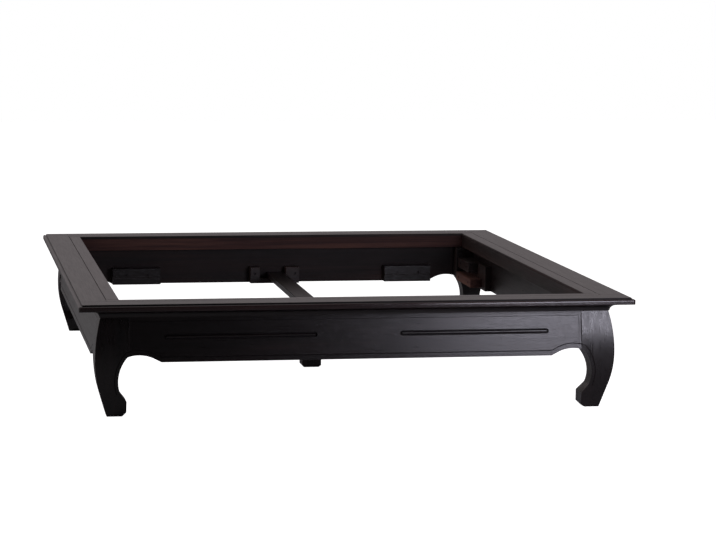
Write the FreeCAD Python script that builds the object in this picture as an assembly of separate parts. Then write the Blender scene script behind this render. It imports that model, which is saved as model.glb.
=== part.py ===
import FreeCAD, Part
import math
import os

from FreeCAD import Vector

# Low platform bed. X runs across it, Y from the foot end to the head end, Z up from the floor.
# The origin is on the floor, under the middle of the bed. All lengths are in millimetres.

# Opening that takes the mattress, and the height of the rail above the floor
opening_width = 1600.0
opening_length = 2000.0
bed_height = 388.0

# Rail: an outer board with a nosed edge, and a plain strip beside the opening
board_width = 100.0
board_thickness = 23.0
strip_width = 45.0
strip_thickness = 10.0
strip_round = 4.0
seam_chamfer = 1.5
nose_width = 12.0
quirk_drop = 6.5
nose_drop = 12.5
corner_round = 8.0

# Dowels that hold the butt joints of the rail boards
dowel_radius = 4.0
dowel_length = 40.0
dowel_edge_gap = 30.0
dowel_spacing = 35.0

# Battens under the strips
batten_height = 48.0
batten_setback = 2.0

# Cove moulding under the rail
cove_lip = 7.0
cove_radius = 21.0
cove_foot = 3.0

# Aprons between the legs, with a wavy lower edge near each leg. Their flat outer face leans out to the
# height of the legs' belly.
apron_thickness = 24.0
apron_height = 178.0
arch_end_rise = 20.0
arch_peak_rise = 23.5
arch_peak_run = 40.0
arch_bend_rise = 14.0
arch_bend_run = 78.0
arch_run = 106.0
tenon_length = 40.0
tenon_thickness = 12.0
tenon_lower_shoulder = 16.0
tenon_upper_shoulder = 32.0

# Border line cut round the face of each apron
border_rise = 13.5
border_side = 9.0
border_top_drop = 41.5
line_width = 3.0
line_depth = 2.0

# Sunk slots with a bead in them, on the two end aprons
slot_end_gap = 115.0
slot_middle_gap = 141.0
slot_height = 18.0
slot_rise = 83.0
slot_depth = 6.0
bead_radius = 6.0
bead_end_gap = 4.0

# Old pilot hole inside each side apron
pilot_radius = 3.0
pilot_depth = 10.0
pilot_along = 78.0
pilot_rise = 74.0

# Legs: distances outwards and inwards are from the apron's outer face. The belly's height is above the
# lower edge of the aprons, so that it stays beside them when the rail is set higher or lower. The wave of
# the aprons runs on over each leg for a short lap before the hollow of the leg starts.
leg_block = 96.0
belly_rise = 6.0
belly_out = 19.5
shin_height = 88.0
shin_out = 4.5
heel_in = 22.0
arch_lap_run = 7.0
arch_lap_drop = 2.0
hock_height = 125.0
hock_in = 58.2
instep_height = 83.0
instep_in = 64.8
toe_height = 52.0
toe_in = 87.5
toe_chamfer = 14.0

# Cleats on the end aprons
cleat_length = 198.0
cleat_height = 67.0
cleat_end_gap = 132.0
cleat_step_height = 30.0
cleat_step_depth = 6.0
cleat_screw_inset = 55.0
cleat_screw_rise = 40.0

# Brackets that hold the ends of the centre beam in open notches
bracket_length = 204.0
bracket_offset = 6.0
bracket_notch_depth = 47.0
bracket_screw_inset = 18.0

# Centre beam and the square leg under it
beam_width = 70.0
beam_thickness = 23.0
beam_offset = 12.0
beam_near_gap = 5.0
beam_far_gap = 33.0
beam_end_gap = 2.0
centre_leg_side = 72.0
centre_leg_offset = -4.0
centre_leg_along = -40.0
centre_leg_chamfer = 8.0
leg_screw_spacing = 40.0
leg_screw_bite = 45.0

# Corner cleats inside the side aprons: a board, a ledge and an upper block
corner_board_length = 338.0
corner_board_height = 102.0
corner_board_thickness = 25.0
ledge_length = 275.0
ledge_height = 35.0
ledge_width = 48.0
block_length = 201.0
block_height = 40.0
block_width = 41.0
corner_screw_inset = 45.0

# Wood screws
screw_sink = 8.0
screw_head_radius = 4.5
screw_head_height = 3.0
screw_shank_radius = 2.5
screw_tip = 6.0
screw_bite = 12.0

# Clearances round screws, dowels and tenons, and the overrun of cuts
fit_gap = 0.3
overrun = 5.0

# Places that follow from the sizes above
rail_width = board_width + strip_width
half_width = opening_width / 2 + rail_width
half_length = opening_length / 2 + rail_width
board_bottom = bed_height - board_thickness
batten_top = bed_height - strip_thickness
batten_bottom = batten_top - batten_height
batten_inner = rail_width - batten_setback
cove_bottom = board_bottom - cove_lip - cove_radius
apron_outer = board_width - apron_thickness
apron_inner = board_width
apron_bottom = board_bottom - apron_height
cove_outer = apron_outer - cove_radius - cove_foot
leg_inner = apron_outer + leg_block
arch_end = apron_bottom + arch_end_rise
belly_height = apron_bottom + belly_rise
cleat_top = apron_bottom + cleat_height
beam_bottom = cleat_top - bracket_notch_depth
beam_top = beam_bottom + beam_thickness
screw_rise = apron_bottom + cleat_screw_rise
corner_board_face = apron_inner + corner_board_thickness
corner_board_top = apron_bottom + corner_board_height
slot_level = apron_bottom + slot_rise
face_front = apron_outer - belly_out - overrun

UP = Vector(0, 0, 1)
ORIGIN = Vector(0, 0, 0)

# How a piece modelled at the foot end turns and moves to each side of the bed
SIDES = {
    "foot": (0, Vector(0, -half_length, 0)),
    "right": (90, Vector(half_width, 0, 0)),
    "head": (180, Vector(0, half_length, 0)),
    "left": (270, Vector(-half_width, 0, 0)),
}
END_SIDES = ("foot", "head")

# Whether a piece modelled at the left corner of the foot end flips across X and across Y
CORNERS = {
    "foot_left": (False, False),
    "foot_right": (True, False),
    "head_left": (False, True),
    "head_right": (True, True),
}


def half_span(side):
    """Half the length of the rail's outer edge on one side."""
    return half_width if side in END_SIDES else half_length


def apron_half(side):
    """Half the length of the apron between the legs on one side."""
    return half_span(side) - leg_inner


def to_side(shape, side):
    """Turns a piece from the foot end, with y inwards from the outer edge, to its side."""
    angle, offset = SIDES[side]
    turned = shape.copy()
    turned.rotate(ORIGIN, UP, angle)
    turned.translate(offset)
    return turned


def flipped(shape, across_x, across_y):
    """Mirrors a piece from the left corner of the foot end to another corner."""
    result = shape.copy()
    if across_x:
        result = result.mirror(ORIGIN, Vector(1, 0, 0))
    if across_y:
        result = result.mirror(ORIGIN, Vector(0, 1, 0))
    return result


def block(x0, x1, y0, y1, z0, z1):
    """A block between two corners."""
    return Part.makeBox(x1 - x0, y1 - y0, z1 - z0, Vector(x0, y0, z0))


def cylinder(radius, length, start, direction):
    """A round bar from a point along a direction."""
    return Part.makeCylinder(radius, length, start, direction)


def upright_face(path):
    """A face in the XZ plane. A step is (x, z), or (x, z, middle_x, middle_z) where it is an arc."""
    edges = []
    start = Vector(path[-1][0], 0, path[-1][1])
    for step in path:
        end = Vector(step[0], 0, step[1])
        if len(step) == 2:
            edges.append(Part.makeLine(start, end))
        else:
            middle = Vector(step[2], 0, step[3])
            edges.append(Part.Arc(start, middle, end).toShape())
        start = end
    return Part.Face(Part.Wire(edges))


def flat_prism(corners, z0, z1):
    """A prism on a plan of straight sides."""
    points = [Vector(x, y, z0) for x, y in corners]
    plan = Part.Face(Part.makePolygon(points + points[:1]))
    return plan.extrude(Vector(0, 0, z1 - z0))


def prism_along_x(path, x0, x1):
    """A bar along X whose section is given as y and z."""
    face = upright_face(path)
    face.rotate(ORIGIN, UP, 90)
    face.translate(Vector(x0, 0, 0))
    return face.extrude(Vector(x1 - x0, 0, 0))


def cut_all(shape, tools):
    """Cuts every tool from a shape."""
    return shape.cut(tools) if tools else shape


def edges_on(shape, half_x, half_y):
    """The top edges of a ring that lie on a rectangle of the given half sizes."""
    found = []
    for edge in shape.Edges:
        a, b = edge.Vertexes[0].Point, edge.Vertexes[-1].Point
        at_top = math.isclose(a.z, bed_height) and math.isclose(b.z, bed_height)
        on_x = math.isclose(abs(a.x), half_x) and math.isclose(a.x, b.x) and abs(a.y) <= half_y
        on_y = math.isclose(abs(a.y), half_y) and math.isclose(a.y, b.y) and abs(a.x) <= half_x
        if at_top and (on_x or on_y):
            found.append(edge)
    return found


def nosed_section(half):
    """Section of the rail slab from edge to edge: a flat top, a step down, and a rounded nose."""
    quirk = bed_height - quirk_drop
    nose = bed_height - nose_drop
    inset = nose_width * (1 - math.cos(math.radians(45)))
    rise = (nose_drop - quirk_drop) * math.sin(math.radians(45))
    return [
        (-half, nose),
        (-half + nose_width, quirk, -half + inset, nose + rise),
        (-half + nose_width, bed_height),
        (half - nose_width, bed_height),
        (half - nose_width, quirk),
        (half, nose, half - inset, nose + rise),
        (half, board_bottom),
        (-half, board_bottom),
    ]


def rail_boards():
    """The four rail boards: the end boards run the full width, and the side boards butt between them."""
    across = upright_face(nosed_section(half_width))
    across.translate(Vector(0, -half_length, 0))
    slab = across.extrude(Vector(0, 2 * half_length, 0))
    slab = slab.common(prism_along_x(nosed_section(half_length), -half_width, half_width))
    plan = block(-half_width, half_width, -half_length, half_length, board_bottom, bed_height)
    uprights = [e for e in plan.Edges if math.isclose(abs(e.tangentAt(0).z), 1)]
    slab = slab.common(plan.makeFillet(corner_round, uprights))
    seam_x = half_width - board_width
    seam_y = half_length - board_width
    slab = slab.cut(block(-seam_x, seam_x, -seam_y, seam_y, 0, bed_height + overrun))
    slab = slab.makeChamfer(seam_chamfer, edges_on(slab, seam_x, seam_y))
    end = block(-half_width, half_width, seam_y, half_length, board_bottom, bed_height)
    side = block(seam_x, half_width, -seam_y, seam_y, board_bottom, bed_height)
    head = slab.common(end)
    right = slab.common(side)
    boards = {
        "head": head,
        "foot": flipped(head, False, True),
        "right": right,
        "left": flipped(right, True, False),
    }
    bores = [dowel(*place, fit_gap) for place in dowel_places()]
    return {side: cut_all(board, bores) for side, board in boards.items()}


def dowel_places():
    """Middle points of the dowels across the butt joints of the rail boards."""
    inner = half_width - board_width + dowel_edge_gap
    joint = half_length - board_width
    level = bed_height - board_thickness / 2
    return [
        (sign_x * x, sign_y * joint, level)
        for sign_x in (-1, 1)
        for sign_y in (-1, 1)
        for x in (inner, inner + dowel_spacing)
    ]


def dowel(x, y, z, gap):
    """A dowel along Y, or its bore when a gap is given."""
    length = dowel_length + 2 * gap
    return cylinder(dowel_radius + gap, length, Vector(x, y - length / 2, z), Vector(0, 1, 0))


def inner_strips():
    """The four strips beside the opening, with an eased edge and a chamfer at the seam."""
    outer_x = opening_width / 2 + strip_width
    outer_y = opening_length / 2 + strip_width
    inner_x = opening_width / 2
    inner_y = opening_length / 2
    ring = block(-outer_x, outer_x, -outer_y, outer_y, batten_top, bed_height)
    ring = ring.cut(block(-inner_x, inner_x, -inner_y, inner_y, 0, bed_height + overrun))
    ring = ring.makeChamfer(seam_chamfer, edges_on(ring, outer_x, outer_y))
    ring = ring.makeFillet(strip_round, edges_on(ring, inner_x, inner_y))
    head = ring.common(block(-outer_x, outer_x, inner_y, outer_y, batten_top, bed_height))
    right = ring.common(block(inner_x, outer_x, -inner_y, inner_y, batten_top, bed_height))
    return {
        "head": head,
        "foot": flipped(head, False, True),
        "right": right,
        "left": flipped(right, True, False),
    }


def batten(side):
    """A batten under a strip: the end battens run the full width, the side ones stand between them."""
    half = half_span(side) - (apron_inner if side in END_SIDES else batten_inner)
    return to_side(block(-half, half, apron_inner, batten_inner, batten_bottom, batten_top), side)


def cove(side):
    """A hollow moulding under the rail board, mitred at both ends."""
    half = half_span(side)
    slant = math.sqrt(1 / 2)
    hollow = (cove_outer + cove_radius * slant, cove_bottom + cove_radius * slant)
    section = [
        (cove_outer, board_bottom),
        (cove_outer, board_bottom - cove_lip),
        (cove_outer + cove_radius, cove_bottom, *hollow),
        (apron_outer, cove_bottom),
        (apron_outer, board_bottom),
    ]
    bar = prism_along_x(section, -half, half)
    plan = [
        (cove_outer - half, cove_outer),
        (half - cove_outer, cove_outer),
        (half - apron_outer, apron_outer),
        (apron_outer - half, apron_outer),
    ]
    return to_side(bar.common(flat_prism(plan, cove_bottom, board_bottom)), side)


def apron_edge(half):
    """Lower edge of an apron from its left end to its right end."""
    peak = (half - arch_peak_run, apron_bottom + arch_peak_rise)
    bend = (half - arch_bend_run, apron_bottom + arch_bend_rise)
    foot = (half - arch_run, apron_bottom)
    return [
        (-half, arch_end),
        (-bend[0], bend[1], -peak[0], peak[1]),
        (-foot[0], foot[1]),
        foot,
        bend,
        (half, arch_end, *peak),
    ]


def apron_outline(half):
    """A thick panel with the lower edge of an apron, from in front of its face to its inner face."""
    face = upright_face(apron_edge(half) + [(half, board_bottom), (-half, board_bottom)])
    face.translate(Vector(0, face_front, 0))
    return face.extrude(Vector(0, apron_inner - face_front, 0))


def apron_bar(half, depth):
    """A bar as long as an apron, with its leaning outer face moved inwards by a depth."""
    shoulder = (apron_outer + depth, cove_bottom)
    belly = (apron_outer - belly_out + depth, belly_height)
    section = [
        (apron_inner, apron_bottom),
        (belly[0], apron_bottom),
        belly,
        shoulder,
        (shoulder[0], board_bottom),
        (apron_inner, board_bottom),
    ]
    return prism_along_x(section, -half, half)


def face_layer(half, depth):
    """The outermost layer of an apron, down to a depth."""
    return apron_bar(half, 0).cut(apron_bar(half, depth))


def border_line(half):
    """The groove that follows the lower edge, the ends and the top of an apron's face."""
    parts = []
    for inset in (0, line_width):
        raised = apron_outline(half)
        raised.translate(Vector(0, 0, border_rise + inset))
        reach = half - border_side - inset
        top = board_bottom - border_top_drop - inset
        parts.append(raised.common(block(-reach, reach, face_front, apron_inner, 0, top)))
    return parts[0].cut(parts[1]).common(face_layer(half, line_depth))


def slot_ends(half):
    """Where each sunk slot on an end apron starts and stops along X."""
    return [(-half + slot_end_gap, -slot_middle_gap), (slot_middle_gap, half - slot_end_gap)]


def sunk_slots(half):
    """The round-ended slots in the face of an end apron."""
    radius = slot_height / 2
    reach = apron_inner - face_front
    shapes = []
    for start, stop in slot_ends(half):
        first, last = start + radius, stop - radius
        middle = block(first, last, face_front, apron_inner, slot_level - radius, slot_level + radius)
        ends = [
            cylinder(radius, reach, Vector(x, face_front, slot_level), Vector(0, 1, 0))
            for x in (first, last)
        ]
        shapes.append(middle.fuse(ends))
    layer = face_layer(half, slot_depth)
    return [shape.common(layer) for shape in shapes]


def slot_bead(start, stop, sunk_bar):
    """A half-round bead with domed ends on the floor of a slot."""
    lean = belly_out * (cove_bottom - slot_level) / (cove_bottom - belly_height)
    floor = apron_outer - lean + slot_depth
    first = start + bead_end_gap + bead_radius
    last = stop - bead_end_gap - bead_radius
    bar = cylinder(bead_radius, last - first, Vector(first, floor, slot_level), Vector(1, 0, 0))
    ends = [Part.makeSphere(bead_radius, Vector(x, floor, slot_level)) for x in (first, last)]
    return bar.fuse(ends).cut(sunk_bar).removeSplitter()


def tenon_box(end, gap):
    """A tenon from the end of an apron towards +X, or its mortise when a gap is given."""
    middle = apron_outer + apron_thickness / 2
    half = tenon_thickness / 2 + gap
    low = arch_end + tenon_lower_shoulder - gap
    high = board_bottom - tenon_upper_shoulder + gap
    return block(end, end + tenon_length + gap, middle - half, middle + half, low, high)


def apron(side, bores):
    """An apron with its tenons, border line, and slots or pilot hole."""
    half = apron_half(side)
    panel = apron_outline(half).common(apron_bar(half, 0))
    tenon = tenon_box(half, 0)
    shape = panel.fuse([tenon, flipped(tenon, True, False)]).removeSplitter()
    cuts = [border_line(half)]
    if side in END_SIDES:
        cuts += sunk_slots(half)
    shape = to_side(shape.cut(cuts), side)
    if side not in END_SIDES:
        inner_face = half_width - apron_inner
        out = Vector(1, 0, 0) if side == "right" else Vector(-1, 0, 0)
        start = Vector(inner_face * out.x, pilot_along, apron_bottom + pilot_rise)
        shape = shape.cut(cylinder(pilot_radius, pilot_depth, start, out))
    return cut_all(shape, bores)


def beads(side):
    """The pair of beads in the slots of an end apron."""
    half = apron_half(side)
    sunk_bar = apron_bar(half, slot_depth)
    pair = [to_side(slot_bead(*ends, sunk_bar), side) for ends in slot_ends(half)]
    return Part.makeCompound(pair)


def arc_across(apex, end, height):
    """Where an arc lies at a height, when it leaves its apex upright and ends at another point."""
    run = end[0] - apex[0]
    rise = end[1] - apex[1]
    radius = (run**2 + rise**2) / (2 * run)
    return apex[0] + radius - math.sqrt(radius**2 - (height - apex[1]) ** 2)


def arc_middle(apex, end):
    """Middle point of such an arc."""
    height = (apex[1] + end[1]) / 2
    return arc_across(apex, end, height), height


def leg_section():
    """A leg seen from one side: x inwards from the rail's outer edge, z up from the floor."""
    shoulder = (apron_outer, cove_bottom)
    belly = (apron_outer - belly_out, belly_height)
    shin = (apron_outer - shin_out, shin_height)
    hock = (apron_outer + hock_in, hock_height)
    toe = apron_outer + toe_in
    return [
        (apron_outer + heel_in, 0),
        shin,
        (*belly, *arc_middle(belly, shin)),
        (*shoulder, *arc_middle(belly, shoulder)),
        (apron_outer, board_bottom),
        (leg_inner, board_bottom),
        (leg_inner, arch_end),
        (leg_inner - arch_lap_run, arch_end - arch_lap_drop),
        (apron_outer + instep_in, instep_height, *hock),
        (toe, toe_height),
        (toe, toe_chamfer),
        (toe - toe_chamfer, 0),
    ]


def corner_leg():
    """The leg of the left corner at the foot end: the same outline seen from both sides."""
    profile = upright_face(leg_section()).extrude(Vector(0, leg_inner, 0))
    shape = profile.common(profile.mirror(ORIGIN, Vector(1, -1, 0)))
    rebate = block(apron_inner, leg_inner, apron_inner, leg_inner, batten_bottom, board_bottom)
    shape = shape.cut(rebate)
    mortise = flipped(tenon_box(-leg_inner, fit_gap), True, False)
    shape = shape.cut([mortise, mortise.mirror(ORIGIN, Vector(1, -1, 0))])
    shape.translate(Vector(-half_width, -half_length, 0))
    return shape


def screw(start, into, reach):
    """A wood screw sunk below the surface at a point, with its tip at the given reach."""
    head_start = start + into * screw_sink
    shank_start = head_start + into * screw_head_height
    shank_length = reach - screw_sink - screw_head_height - screw_tip
    tip_start = shank_start + into * shank_length
    head = cylinder(screw_head_radius, screw_head_height, head_start, into)
    shank = cylinder(screw_shank_radius, shank_length, shank_start, into)
    tip = Part.makeCone(screw_shank_radius, 0, screw_tip, tip_start, into)
    return head.fuse([shank, tip]).removeSplitter()


def screw_bore(start, into, reach):
    """The sunk hole for a screw's head and the clearance round its shank."""
    depth = screw_sink + screw_head_height
    wide = cylinder(screw_head_radius + fit_gap, depth, start, into)
    narrow = cylinder(screw_shank_radius + fit_gap, reach + fit_gap, start, into)
    return wide.fuse(narrow)


def end_cleats():
    """The two cleats of each end apron, before their bores."""
    outer = opening_width / 2 - cleat_end_gap
    front = rail_width - cleat_step_depth
    step_top = apron_bottom + cleat_step_height
    shape = block(-outer, cleat_length - outer, apron_inner, rail_width, apron_bottom, cleat_top)
    shape = shape.cut(block(-outer, cleat_length - outer, front, rail_width, apron_bottom, step_top))
    shape.translate(Vector(0, -half_length, 0))
    return shape


def cleat_screw_places():
    """Where screws enter the left cleat of the foot end, and how far they reach."""
    outer = opening_width / 2 - cleat_end_gap
    xs = (cleat_screw_inset - outer, cleat_length - cleat_screw_inset - outer)
    return [end_screw_place(x) for x in xs]


def end_screw_place(x):
    """A screw from the inner face of a cleat or bracket into the foot apron."""
    start = Vector(x, rail_width - half_length, screw_rise)
    return start, Vector(0, -1, 0), rail_width - apron_inner + screw_bite


def foot_bracket():
    """The bracket on the foot apron, with the open notch for the centre beam."""
    left = bracket_offset - bracket_length / 2
    near = beam_offset + beam_width / 2 + beam_near_gap
    far = beam_offset - beam_width / 2 - beam_far_gap
    shape = block(left, left + bracket_length, apron_inner, rail_width, apron_bottom, cleat_top)
    shape = shape.cut(block(far, near, apron_inner, rail_width, beam_bottom, cleat_top))
    shape.translate(Vector(0, -half_length, 0))
    return shape


def bracket_screw_places():
    """Where screws enter the bracket of the foot end."""
    reach = bracket_length / 2 - bracket_screw_inset
    return [end_screw_place(bracket_offset + x) for x in (-reach, reach)]


def centre_beam():
    """The flat beam from notch to notch along the middle of the bed."""
    x0 = beam_offset - beam_width / 2
    reach = half_length - apron_inner - beam_end_gap
    shape = block(x0, x0 + beam_width, -reach, reach, beam_bottom, beam_top)
    return cut_all(shape, [screw_bore(*place) for place in leg_screw_places()])


def leg_screw_places():
    """Where screws enter the top of the beam to hold the centre leg."""
    reach = beam_thickness + leg_screw_bite
    ys = (centre_leg_along - leg_screw_spacing / 2, centre_leg_along + leg_screw_spacing / 2)
    return [(Vector(centre_leg_offset, y, beam_top), Vector(0, 0, -1), reach) for y in ys]


def centre_leg():
    """The square leg under the beam, with chamfered lower edges."""
    half = centre_leg_side / 2
    x, y = centre_leg_offset, centre_leg_along
    shape = block(x - half, x + half, y - half, y + half, 0, beam_bottom)
    lower = [e for e in shape.Edges if math.isclose(e.CenterOfMass.z, 0, abs_tol=fit_gap)]
    shape = shape.makeChamfer(centre_leg_chamfer, lower)
    return cut_all(shape, [screw_bore(*place) for place in leg_screw_places()])


def corner_piece(depth, width, length, z0, z1):
    """A piece beside the left leg of the foot end, standing out from a depth inside the apron."""
    x0 = depth - half_width
    y0 = leg_inner - half_length
    return block(x0, x0 + width, y0, y0 + length, z0, z1)


def corner_pieces():
    """The board, ledge and upper block beside one leg, before their bores."""
    face, top = corner_board_face, corner_board_top
    thickness, length = corner_board_thickness, corner_board_length
    return {
        "board": corner_piece(apron_inner, thickness, length, apron_bottom, top),
        "ledge": corner_piece(face, ledge_width, ledge_length, beam_top - ledge_height, beam_top),
        "block": corner_piece(face, block_width, block_length, top - block_height, top),
    }


def corner_screw_places(width, length, level):
    """Where two screws enter a ledge or an upper block on their way to the left apron."""
    x = corner_board_face + width - half_width
    y0 = leg_inner - half_length
    reach = width + corner_board_thickness + screw_bite
    ys = (y0 + corner_screw_inset, y0 + length - corner_screw_inset)
    return [(Vector(x, y, level), Vector(-1, 0, 0), reach) for y in ys]


def ledge_screw_places():
    """Screws through the middle height of the ledge."""
    return corner_screw_places(ledge_width, ledge_length, beam_top - ledge_height / 2)


def block_screw_places():
    """Screws through the middle height of the upper block."""
    return corner_screw_places(block_width, block_length, corner_board_top - block_height / 2)


def every_corner(shapes):
    """Copies of one corner's shapes at all four corners."""
    return [flipped(s, *flips) for flips in CORNERS.values() for s in shapes]


def both_ends(shapes):
    """Copies of the foot end's shapes at both ends."""
    return [flipped(s, False, across) for across in (False, True) for s in shapes]


def build():
    """Every node of the bed, by name."""
    nodes = {}
    cleat_places = cleat_screw_places()
    bracket_places = bracket_screw_places()
    ledge_places = ledge_screw_places()
    block_places = block_screw_places()
    end_bores = every_corner([screw_bore(*p) for p in cleat_places])
    end_bores += both_ends([screw_bore(*p) for p in bracket_places])
    side_bores = every_corner([screw_bore(*p) for p in ledge_places + block_places])

    boards = rail_boards()
    strips = inner_strips()
    for side in SIDES:
        nodes[f"{side}_rail_board"] = boards[side]
        nodes[f"{side}_inner_strip"] = strips[side]
        nodes[f"{side}_batten"] = batten(side)
        nodes[f"{side}_cove_moulding"] = cove(side)
        nodes[f"{side}_apron"] = apron(side, end_bores if side in END_SIDES else side_bores)
    nodes["foot_apron_beads"] = beads("foot")
    nodes["head_apron_beads"] = beads("head")

    leg = corner_leg()
    cleat = end_cleats().cut([screw_bore(*p) for p in cleat_places])
    corner_bores = [screw_bore(*p) for p in ledge_places + block_places]
    pieces = {name: shape.cut(corner_bores) for name, shape in corner_pieces().items()}
    for corner, flips in CORNERS.items():
        nodes[f"{corner}_leg"] = flipped(leg, *flips)
        nodes[f"{corner}_end_cleat"] = flipped(cleat, *flips)
        for name, shape in pieces.items():
            nodes[f"{corner}_corner_{name}"] = flipped(shape, *flips)

    bracket = foot_bracket().cut([screw_bore(*p) for p in bracket_places])
    nodes["foot_beam_bracket"] = bracket
    nodes["head_beam_bracket"] = flipped(bracket, False, True)
    nodes["centre_beam"] = centre_beam()
    nodes["centre_leg"] = centre_leg()

    groups = {
        "end_cleat_screws": every_corner([screw(*p) for p in cleat_places]),
        "beam_bracket_screws": both_ends([screw(*p) for p in bracket_places]),
        "corner_ledge_screws": every_corner([screw(*p) for p in ledge_places]),
        "corner_block_screws": every_corner([screw(*p) for p in block_places]),
        "centre_leg_screws": [screw(*p) for p in leg_screw_places()],
        "rail_dowels": [dowel(*place, 0) for place in dowel_places()],
    }
    for name, solids in groups.items():
        nodes[name] = Part.makeCompound(solids)
    return nodes


os.makedirs("parts", exist_ok=True)
for name, shape in build().items():
    shape.exportStep(f"parts/{name}.step")
    state = "valid" if shape.isValid() else "not valid"
    print(name, len(shape.Solids), "solids", state, round(shape.Volume))
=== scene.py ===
# %% [markdown]
# # A low platform bed in dark stained hardwood
# The bed is a flat rail round an open mattress well. It stands on four curved legs with wavy
# aprons between them, and a loose centre beam lies in open notches at both ends. The construction
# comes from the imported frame. This lesson gives each piece of timber its edges, grooves and
# finish, and lights the bed for one view.

# %% Load the frame
import cmath
import itertools
import math

import bmesh
import bpy
from mathutils import Matrix, Vector


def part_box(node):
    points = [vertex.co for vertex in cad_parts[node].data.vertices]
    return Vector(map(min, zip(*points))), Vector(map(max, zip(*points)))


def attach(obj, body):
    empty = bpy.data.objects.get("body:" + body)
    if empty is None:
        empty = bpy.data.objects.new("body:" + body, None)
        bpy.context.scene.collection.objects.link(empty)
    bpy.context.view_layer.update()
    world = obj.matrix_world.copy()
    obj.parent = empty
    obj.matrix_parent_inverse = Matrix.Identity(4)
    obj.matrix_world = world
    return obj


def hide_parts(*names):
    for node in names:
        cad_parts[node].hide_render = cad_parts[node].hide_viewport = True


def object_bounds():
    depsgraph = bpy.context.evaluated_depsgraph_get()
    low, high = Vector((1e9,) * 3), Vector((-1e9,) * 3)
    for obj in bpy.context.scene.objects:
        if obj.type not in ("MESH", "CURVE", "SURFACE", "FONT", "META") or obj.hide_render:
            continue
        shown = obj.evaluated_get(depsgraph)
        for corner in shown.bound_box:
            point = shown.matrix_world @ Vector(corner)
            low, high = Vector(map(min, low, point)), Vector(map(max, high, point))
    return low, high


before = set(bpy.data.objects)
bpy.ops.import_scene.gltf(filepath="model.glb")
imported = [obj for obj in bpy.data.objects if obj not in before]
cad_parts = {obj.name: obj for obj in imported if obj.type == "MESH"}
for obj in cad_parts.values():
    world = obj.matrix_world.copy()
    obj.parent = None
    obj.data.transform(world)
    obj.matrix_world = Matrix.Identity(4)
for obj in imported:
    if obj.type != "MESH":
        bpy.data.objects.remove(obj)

cad_low, cad_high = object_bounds()
print("frame", [round(v, 3) for v in (*cad_low, *cad_high)], "with", len(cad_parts), "nodes")

# %% [markdown]
# ## Sizes
# Blender works in metres, and a joiner in millimetres, so one constant turns one into the other.
# The large sizes are read from the frame, so that each finished piece lies exactly where its
# construction is. They are given in millimetres inwards from the rail's outer edge and above the
# floor. Small sizes that only the eye needs, such as the width of a worn edge, are named here or
# beside their piece.

# %% Sizes read from the frame
MM = 0.001
HALF_WIDTH = cad_high.x
HALF_LENGTH = cad_high.y
TOP = cad_high.z / MM
LEG_EDGE = 172.0


def inward_span(node):
    """Where a piece of the foot end starts and stops inwards, and its lowest and highest level."""
    low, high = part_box(node)
    return [v / MM for v in (low.y + HALF_LENGTH, high.y + HALF_LENGTH, low.z, high.z)]


_, BOARD_WIDTH, BOARD_UNDER, _ = inward_span("foot_rail_board")
_, STRIP_EDGE, STRIP_UNDER, _ = inward_span("foot_inner_strip")
_, BATTEN_EDGE, BATTEN_UNDER, BATTEN_TOP = inward_span("foot_batten")
COVE_OUT, COVE_IN, COVE_UNDER, COVE_TOP = inward_span("foot_cove_moulding")
APRON_OUT, APRON_IN, APRON_UNDER, _ = inward_span("foot_apron")
print("rail", round(BOARD_WIDTH, 1), "mm, with its strip", round(STRIP_EDGE, 1), "mm wide")
print("apron from", round(APRON_OUT, 1), "to", round(APRON_IN, 1), "mm in, leg to", LEG_EDGE, "mm")

# %% [markdown]
# ## Colours and nodes
# A colour is easiest to judge as a hex value, but shaders work in linear light, so one function
# converts. A second small function adds a node, sets its values and makes its links, which keeps
# each material short. Two more start a material and fill a colour ramp.

# %% Colour and node helpers
def linear(code):
    """A hex colour such as 1a1011 as linear red, green, blue and alpha."""
    values = [int(code[i:i + 2], 16) / 255 for i in (0, 2, 4)]
    curve = [v / 12.92 if v <= 0.04045 else ((v + 0.055) / 1.055) ** 2.4 for v in values]
    return (*curve, 1.0)


def add_node(tree, kind, settings=None, links=None):
    """Adds a node. Settings and links are keyed by socket name or number, or by property name."""
    node = tree.nodes.new(kind)
    for key, value in (settings or {}).items():
        if isinstance(key, str) and key not in node.inputs:
            setattr(node, key, value)
        else:
            node.inputs[key].default_value = value
    for key, source in (links or {}).items():
        tree.links.new(source, node.inputs[key])
    return node


def start_material(name):
    """A new material: itself, its node tree, its shader, and places on a piece in metres."""
    material = bpy.data.materials.new(name)
    material.use_nodes = True
    tree = material.node_tree
    place = add_node(tree, "ShaderNodeTexCoord").outputs["Object"]
    return material, tree, tree.nodes["Principled BSDF"], place


def set_ramp(node, stops):
    """Gives a colour ramp its places and hex colours."""
    elements = node.color_ramp.elements
    for element, (place, code) in zip(elements, (stops[0], stops[-1])):
        element.position = place
        element.color = linear(code)
    for place, code in stops[1:-1]:
        elements.new(place).color = linear(code)


print("espresso stain in linear light:", [round(v, 4) for v in linear("1a1011")[:3]])

# %% [markdown]
# ## Dark stained hardwood
# The real bed is a close-grained tropical hardwood such as teak or mindi, stained almost black
# and finished with a satin lacquer. The stain hides most of the figure. What is left is a fine
# streaking along the board, shallow open pores, and a lacquer film that is a little uneven, so a
# grazing light shows it.
#
# Noises stretched along the grain give these: a broad one for the figure, a fine one for the
# fibres, and a short one for the pores. Real fibres and pores are a few tenths of a millimetre
# wide. That is too fine to show here, so both are drawn as coarse as they need to be. A fourth
# noise, as wide as it is long, clouds the tone. A fifth makes the lacquer film patchy, most of
# all on the legs, whose curves cut across the grain.
#
# Grain runs along each piece, so the same recipe is made for X, Y and Z. Each piece carries a
# number, its board, which shifts the noise, so that the grain doesn't run on from one piece into
# the next.

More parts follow.
